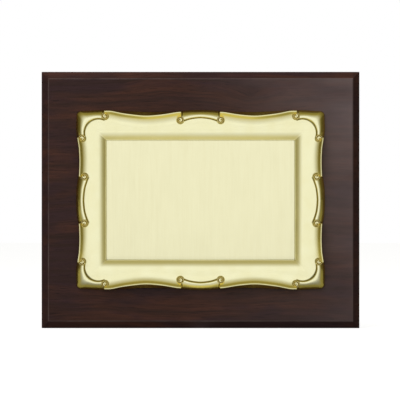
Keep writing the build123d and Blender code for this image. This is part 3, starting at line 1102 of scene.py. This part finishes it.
    def surface(self) -> tuple:
        """The closed tray: each way inwards from the foot is a section of the relief.

        A point is the foot's point plus its inset along the way to the floor's edge. Its height
        is the edge's section plus the cove's, less the shelf that both end in.

        Returns:
            The shell, with points and faces in metres, and the painted groove shade at each point.
        """
        edge = self.outline()
        line = self.incised_line(edge)
        inset = self.insets(edge, line)
        flat = edge.foot + inset[..., None] * edge.heading
        skirt = through(edge.foot[:, 0], self.skirt_places, self.skirt_widths)
        height = self.relief.edge(inset, line, edge.scroll, skirt)
        height = height + self.relief.inner(self.outside(edge, flat)) - self.relief.shelf
        under, levels = self.underside(edge)
        rings = np.concatenate([under, four_quarters(flat)])
        heights = np.concatenate([levels, four_times(height)])
        poles = [on_face(np.zeros(2), level) for level in (heights[0, 0], heights[-1, 0])]
        # Painted shade in the incised lines and at the scrolls' steps.
        stain = four_times(self.shaded_grooves(edge, line, inset))
        patina = np.concatenate([np.zeros(levels.size), stain.ravel(), np.zeros(len(poles))])
        return lofted(on_face(rings, heights), *poles), patina

    def build(self, finishes: Finishes) -> None:
        """Makes the tray, writes its painted slope and groove shade and puts it in the CAD tray's
        place.

        Args:
            finishes: The plaque's finishes.
        """
        shell, patina = self.surface()
        piece = mesh_piece("gilt_tray", [shell])
        tone(piece, patina)
        settle(piece, Body.PLAQUE, finishes.gilt, ("salver",))


@dataclass
class Volutes:
    """The curled ends of the tray's scrolls, as small domes with a spiral groove.

    Sizes are in millimetres. Each place is a curl's centre in the tray's upper right quarter, the
    direction in which its groove leaves, in degrees, and which way the groove winds inwards: 1
    for anticlockwise, -1 for clockwise.
    """

    radius: float = 3.3
    base: float = 4.2
    crest: float = 7.0
    root: float = 0.3
    rim_power: int = 13
    dip: float = 1.15
    second_dip: float = 0.8
    ring: float = 2.8
    pitch: float = 1.05
    groove: float = 0.27
    groove_end: tuple = (0.45, 0.65)
    bead: float = 0.35
    bead_width: float = 0.5
    # Painted shade: how dark the spiral grooves are painted.
    stain: float = 0.8
    # Painted shade: the least slope shade over each whole curl.
    least_curl_shade: float = 0.1
    places: tuple = (
        ((90.1, 18.2), 217.0, -1),
        ((91.9, 47.8), 163.0, 1),
        ((74.1, 65.2), 290.0, -1),
        ((15.7, 62.0), 222.0, 1),
    )
    rings: int = 24
    eye_share: float = 0.04
    around: int = 52

    def boss(self, centre: tuple, exit_angle: float, turn: int) -> tuple:
        """One curl in polar form, in millimetres about the tray's centre.

        The height is a flat dome that falls away at its rim, less a groove that goes on from the
        scroll's line and winds inwards for a turn and a half, and with a bead in the middle.

        Args:
            centre: The curl's centre.
            exit_angle: The direction in which its groove leaves, in degrees.
            turn: 1 if the groove winds inwards anticlockwise, -1 if clockwise.

        Returns:
            X and Z as (ring, place, 2), heights as (ring, place), and the grooves' own share.
        """
        share = np.linspace(1, self.eye_share, self.rings)[:, None]
        angle = np.linspace(0, 2 * math.pi, self.around, endpoint=False)[None]
        radius = share * self.radius
        turned = (angle / (2 * math.pi)) % 1.0
        first = self.ring - self.pitch * turned
        second = first - self.pitch
        outer = np.exp(-(((radius - first) / self.groove) ** 2))
        inner = np.exp(-(((radius - second) / self.groove) ** 2))
        dent = outer + self.second_dip * (inner * (1 - ease(turned, *self.groove_end)))
        dome = self.base + (self.crest - self.base) * (1 - share**self.rim_power)
        bead = self.bead * np.exp(-((radius / self.bead_width) ** 2))
        height = dome - self.dip * dent + bead
        bearing = math.radians(exit_angle) + turn * angle
        x = centre[0] + radius * np.cos(bearing)
        z = centre[1] + radius * np.sin(bearing)
        return np.stack([x, z], -1), height, np.clip(dent, 0, 1)

    def shell(self, flat: np.ndarray, height: np.ndarray) -> tuple:
        """Closes one curl with a flat underside, and puts it on the board's face.

        Args:
            flat: X and Z as (ring, place, 2), in millimetres.
            height: Heights as (ring, place), in millimetres.

        Returns:
            Its points and faces, in metres.
        """
        points = on_face(flat, height)
        under = points[0].mean(0)
        under[1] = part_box("salver")[1].y - (self.base - self.root) * MM
        return lofted(points, under, points[-1].mean(0))

    def build(self, finishes: Finishes) -> None:
        """Makes all sixteen curls, four mirrored into each corner of the tray.

        Args:
            finishes: The plaque's finishes.
        """
        shells, patina = [], []
        for centre, exit_angle, turn in self.places:
            flat, height, dent = self.boss(centre, exit_angle, turn)
            for mirror in ((1, 1), (1, -1), (-1, 1), (-1, -1)):
                shells.append(self.shell(flat * mirror, height))
                patina.append(np.append(dent.ravel(), [0.0, 0.0]))
        piece = mesh_piece("scroll_curls", shells)
        # Painted shade in the spiral grooves, and at least a little painted slope shade over each
        # curl.
        tone(piece, self.stain * np.concatenate(patina), self.least_curl_shade)
        settle(piece, Body.PLAQUE, finishes.gilt)


@dataclass
class InscriptionPlate:
    """The flat gilt plate on the tray's floor, with a fine chamfer round it, in millimetres."""

    corner: float = 0.15
    chamfer: float = 0.35
    drop: float = 0.22
    crisp: float = 0.02
    edge_band: float = 0.05
    flat_band: float = 3.0
    points_per_quarter: int = 60

    def build(self, finishes: Finishes) -> None:
        """Makes the plate out of rectangular rings and puts it in the CAD plate's place.

        The rings run from the back edge to the front, in over the chamfer and to the middle.

        Args:
            finishes: The plaque's finishes.
        """
        low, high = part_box("inscription_plate")
        half_x, half_z = half_size("inscription_plate")
        thickness = (high.y - low.y) / MM
        level = thickness - self.drop
        sections = (
            (0.0, 0.0),
            (0.0, self.crisp),
            (0.0, level - self.crisp),
            (self.crisp / 2, level),
            (self.chamfer / 2, thickness - self.drop / 2),
            (self.chamfer, thickness - self.crisp / 2),
            (self.chamfer + self.edge_band, thickness),
            (self.chamfer + self.flat_band, thickness),
        )
        along = np.linspace(0, 1, self.points_per_quarter)
        rings = []
        for inset, height in sections:
            quarter = rounded_rectangle(half_x - inset, half_z - inset, self.corner, along)
            rings.append(np.insert(four_quarters(quarter), 1, height, axis=-1))
        points = np.stack(rings) * MM
        points[..., 1] = high.y - points[..., 1]
        points[..., 0] += (low.x + high.x) / 2
        points[..., 2] += (low.z + high.z) / 2
        middle = np.array([(low.x + high.x) / 2, 0.0, (low.z + high.z) / 2])
        back, front = middle + (0, high.y, 0), middle + (0, low.y, 0)
        piece = mesh_piece("bare_plate", [lofted(points, back, front)])
        settle(piece, Body.PLAQUE, finishes.plate, ("inscription_plate",))


# ---------------------------------------------------------------- felt


@dataclass
class Felt:
    """A closed sheet of felt with soft edges and a slightly uneven nap.

    The corner and the nap are in millimetres, and the waves' rates are in radians per metre.
    """

    name: str
    node: str
    body: Body
    rests_on: str
    top_share: float
    corner: float
    nap: float = 0.06
    waves: tuple = (410.0, 370.0, 930.0, 710.0)
    phases: tuple = (1.3, 0.4)
    softness: float = 0.35
    rings: int = 26
    points_per_quarter: int = 70

    def sections(self, half: float, thick: float) -> list[tuple[float, float]]:
        """The cloth's rings, from its back over its edge to the middle of its face.

        Args:
            half: Half the cloth's narrower side.
            thick: Its thickness.

        Returns:
            Each ring's inset and height.
        """
        soft = self.softness * thick
        edge = [(0.0, 0.0), (0.0, 0.55 * thick), (0.25 * soft, 0.85 * thick), (soft, thick)]
        shares = np.linspace(0.02, 0.95, self.rings)
        return edge + [(soft + (half - soft) * share, thick) for share in shares]

    def worn_down(self, points: np.ndarray) -> np.ndarray:
        """The nap's unevenness: its size times slow waves.

        Args:
            points: The cloth's points about its middle.

        Returns:
            How far the nap lies below the cloth's full height at each.
        """
        first, second, third, fourth = self.waves
        x, z = points[..., 0], points[..., 2]
        wave = np.sin(x * first + self.phases[0]) * np.sin(z * second + self.phases[1])
        wave = wave + np.sin(x * third - z * fourth)
        return self.nap * MM * (0.5 + 0.25 * wave)

    def build(self, finishes: Finishes) -> None:
        """The outline is a rounded rectangle whose width shrinks evenly towards the top. Rings run
        from the back of the cloth round its edge and over its face, which carries the nap.

        Args:
            finishes: The plaque's finishes.
        """
        low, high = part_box(self.node)
        half_x, half_z = (high.x - low.x) / 2, (high.z - low.z) / 2
        thick = high.y - low.y
        along = np.linspace(0, 1, self.points_per_quarter)
        edge = four_quarters(rounded_rectangle(half_x, half_z, self.corner * MM, along))
        rings = []
        for inset, height in self.sections(min(half_x, half_z), thick):
            flat = edge * (1 - inset / half_x, 1 - inset / half_z)
            rings.append(np.insert(flat, 1, height, axis=-1))
        points = np.stack(rings)
        points[..., 1] -= (points[..., 1] >= thick) * self.worn_down(points)
        rise = (points[..., 2] + half_z) / (2 * half_z)
        points[..., 0] *= 1 + (self.top_share - 1) * rise
        back = np.array([(low.x + high.x) / 2, low.y, (low.z + high.z) / 2])
        points += back
        piece = mesh_piece(self.name, [lofted(points, back, points[-1].mean(0))])
        settle(piece, self.body, finishes.felt, (self.node,))


# ---------------------------------------------------------------- CAD nodes that keep their shape


@dataclass
class KeptNodes:
    """The CAD nodes whose shape is right already, by the finish that each has."""

    wood: tuple = ("board",)
    steel: tuple = (
        "hanger_plate",
        "hanger_screws",
        "hinge_board_leaf",
        "hinge_screws",
        "hinge_pin",
        "hinge_strut_leaf",
        "strut_rivets",
    )
    hardboard: tuple = ("strut_panel",)
    rubber: tuple = ("bumpers",)
    foam: tuple = ("tray_tape",)
    glue: tuple = ("plate_glue",)

    def build(self, finishes: Finishes) -> None:
        """Dresses every kept node in the finish of its field's name.

        Args:
            finishes: The plaque's finishes.
        """
        for finish, names in vars(self).items():
            for name in names:
                dress(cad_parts[name], getattr(finishes, finish))


# ---------------------------------------------------------------- studio


@dataclass
class Studio:
    """A pale floor, a white surround with a large soft light in front, a key lamp and a camera.

    Glow_ahead and glow_across are how shiny rays see the floor's glow, by the distance in metres
    and by the sideways part of the direction: where it changes from and to, and its share there.
    Light is the world's colour by the distance off straight ahead, with heights scaled by
    tallness. The rear light and the white behind the object come in over their own reach of the
    direction's Y.
    """

    frame_width: float = 0.3115
    distance: float = 2.0
    aim_x: float = -0.0004
    sensor: float = 36.0
    floor_half: float = 4.0
    floor_level: float = -0.0002
    floor_grey: Colour = (0.34, 0.34, 0.335)
    floor_glow: float = 0.85
    glow_ahead: tuple = (0.12, 0.7, (0.54, 0.92))
    glow_across: tuple = (0.45, 0.9, (1.0, 0.06))
    tallness: float = 0.87
    light: tuple = (
        (0.00, (1.06, 1.06, 1.05)),
        (0.30, (1.04, 1.04, 1.03)),
        (0.44, (0.86, 0.86, 0.83)),
        (0.58, (0.67, 0.66, 0.61)),
        (0.72, (0.49, 0.48, 0.42)),
        (0.86, (0.28, 0.27, 0.22)),
        (1.00, (0.09, 0.08, 0.06)),
    )
    rear: Colour = (0.45, 0.45, 0.45)
    rear_reach: tuple = (0.2, 0.8)
    white_reach: tuple = (0.55, 0.75)
    lamp_place: tuple = (-0.75, -0.62, 1.35)
    lamp_target: tuple = (0.06, 0.0, 0.12)
    lamp_size: float = 1.9
    lamp_power: float = 20.0

    def camera(self) -> None:
        """Looks straight at the face along +Y, so wide that the frame spans frame_width there."""
        low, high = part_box("board")
        data = bpy.data.cameras.new("camera")
        data.sensor_width = self.sensor
        data.lens = self.sensor * self.distance / self.frame_width
        data.clip_start, data.clip_end = 0.05, 60.0
        camera = bpy.data.objects.new("camera", data)
        camera.location = (self.aim_x, low.y - self.distance, (low.z + high.z) / 2)
        camera.rotation_euler = (math.pi / 2, 0.0, 0.0)
        bpy.context.scene.collection.objects.link(camera)
        bpy.context.scene.camera = camera

    def floor(self) -> None:
        """A plain pale floor just under the board, which keeps the object's shadow.

        Its diffuse part takes the shadow, and a glow brings its open parts up to white for
        camera rays, and near to it for glossy and transmission rays.
        """
        half, level = self.floor_half, self.floor_level
        square = ((-half, -half), (half, -half), (half, half), (-half, half))
        corners = [(x, y, level) for x, y in square]
        mesh = bpy.data.meshes.new("floor")
        mesh.from_pydata(corners, [], [(0, 1, 2, 3)])
        piece = bpy.data.objects.new("floor", mesh)
        bpy.context.scene.collection.objects.link(piece)
        recipe = Recipe("pale_floor")
        recipe.give(
            recipe.surface,
            {
                "Base Color": (*self.floor_grey, 1.0),
                "Roughness": 1.0,
                "Specular IOR Level": 0.0,
                "Emission Color": (*WHITE, 1.0),
                "Emission Strength": recipe.product(self.seen(recipe), self.floor_glow),
            },
        )
        mesh.materials.append(recipe.material)

    def seen(self, recipe: Recipe) -> Socket:
        """How much of its glow the floor shows to a ray.

        Args:
            recipe: The floor's recipe.

        Returns:
            1 for camera rays, and for shiny rays more further away and less at the sides.
        """
        camera, shiny = recipe.rays()
        place = recipe.own()
        way = recipe.add("VectorMath", {0: place}, operation="NORMALIZE").outputs[0]
        across = recipe.maths("ABSOLUTE", recipe.axes(way)["X"])
        ahead = recipe.spread(recipe.length(place), *self.glow_ahead)
        share = recipe.product(ahead, recipe.spread(across, *self.glow_across))
        return recipe.maths("MAXIMUM", camera, recipe.product(shiny, share))

    def surround(self) -> None:
        """The world: a large soft light straight in front, duller warm sides and a white back.

        The light falls off with the angle from -Y. The camera sees plain white, and glossy and
        transmission rays see the white behind the object too.
        """
        world = bpy.data.worlds.new("studio")
        world.use_nodes = True
        bpy.context.scene.world = world
        nodes = Nodes(world.node_tree)
        way = nodes.axes(nodes.add("TexCoord").outputs["Generated"])
        aside = nodes.maths("POWER", way["X"], 2.0)
        above = nodes.maths("POWER", nodes.product(way["Z"], self.tallness), 2.0)
        away = nodes.maths("SQRT", nodes.maths("ADD", aside, above))
        ramp = nodes.add("ValToRGB", {"Fac": away})
        elements = ramp.color_ramp.elements
        while len(elements) < len(self.light):
            elements.new(0.5)
        for element, (place, colour) in zip(elements, self.light):
            element.position = place
            element.color = (*colour, 1.0)
        camera, shiny = nodes.rays()
        behind = nodes.product(shiny, nodes.spread(way["Y"], *self.white_reach))
        rear = nodes.spread(way["Y"], *self.rear_reach)
        light = nodes.blend(rear, ramp.outputs["Color"], self.rear)
        colour = nodes.blend(nodes.maths("MAXIMUM", camera, behind), light, WHITE)
        background = nodes.add("Background", {"Color": colour, "Strength": 1.0})
        nodes.add("OutputWorld", {"Surface": background.outputs[0]})

    def key_lamp(self) -> None:
        """A soft area lamp above and to the left, well off the axis, which models the bevels."""
        data = bpy.data.lights.new("key", "AREA")
        data.shape = "DISK"
        data.size = self.lamp_size
        data.energy = self.lamp_power
        lamp = bpy.data.objects.new("key", data)
        lamp.location = self.lamp_place
        x, y, z = np.array(self.lamp_target) - np.array(lamp.location)
        tilt = math.pi / 2 - math.atan2(-z, math.hypot(x, y))
        lamp.rotation_euler = (tilt, 0.0, math.atan2(-x, y))
        lamp.visible_camera = False
        lamp.visible_glossy = False
        bpy.context.scene.collection.objects.link(lamp)

    def build(self) -> None:
        """Sets up the camera, the floor, the surround and the lamp, and plain colours."""
        self.camera()
        self.floor()
        self.surround()
        self.key_lamp()
        bpy.context.scene.view_settings.view_transform = "Standard"
        LOG.info("studio ready")


def main() -> None:
    """Builds the sub-assemblies in order."""
    logging.basicConfig(level=logging.INFO, format="%(name)s %(message)s")
    Studio().build()
    finishes = Finishes.mixed()
    KeptNodes().build(finishes)
    Salver().build(finishes)
    Volutes().build(finishes)
    InscriptionPlate().build(finishes)
    Felt("felt_back", "back_felt", Body.PLAQUE, "board", 1.0, 4.0).build(finishes)
    Felt("felt_strut", "strut_felt", Body.STRUT, "strut_panel", 0.62, 9.0).build(finishes)


if __name__ == "__main__":
    main()
